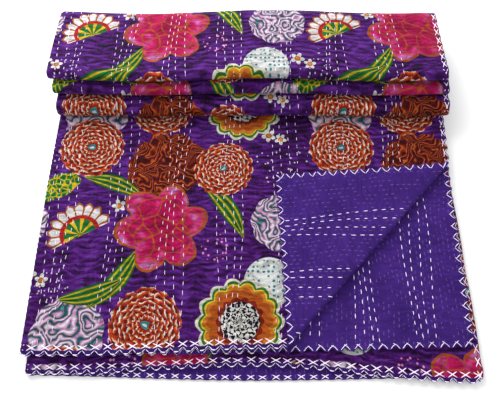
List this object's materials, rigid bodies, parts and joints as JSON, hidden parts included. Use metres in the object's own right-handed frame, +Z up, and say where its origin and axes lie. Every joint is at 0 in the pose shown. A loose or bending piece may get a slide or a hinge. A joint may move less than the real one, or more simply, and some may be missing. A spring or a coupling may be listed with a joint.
{
  "type": "kantha quilt",
  "caption": "Folded quilt of running-stitched cotton, printed on one side and plain on the other, pleated at the back, with one corner turned over.",
  "frame": {"origin": "centre of the rectangle that the folded quilt covers, on the surface it lies on", "axes": "+Z up, +Y towards the pleats at the back, +X along the width towards the open side hems"},
  "size_m": [0.7705, 0.7267, 0.0996],
  "materials": {
    "printed_cotton": "matt printed cotton, running-stitched",
    "plain_cotton": "matt plain-dyed cotton",
    "white_thread": "soft cotton embroidery thread"
  },
  "bodies": {
    "root": {"quilt": "printed_cotton"}
  },
  "joints": []
}
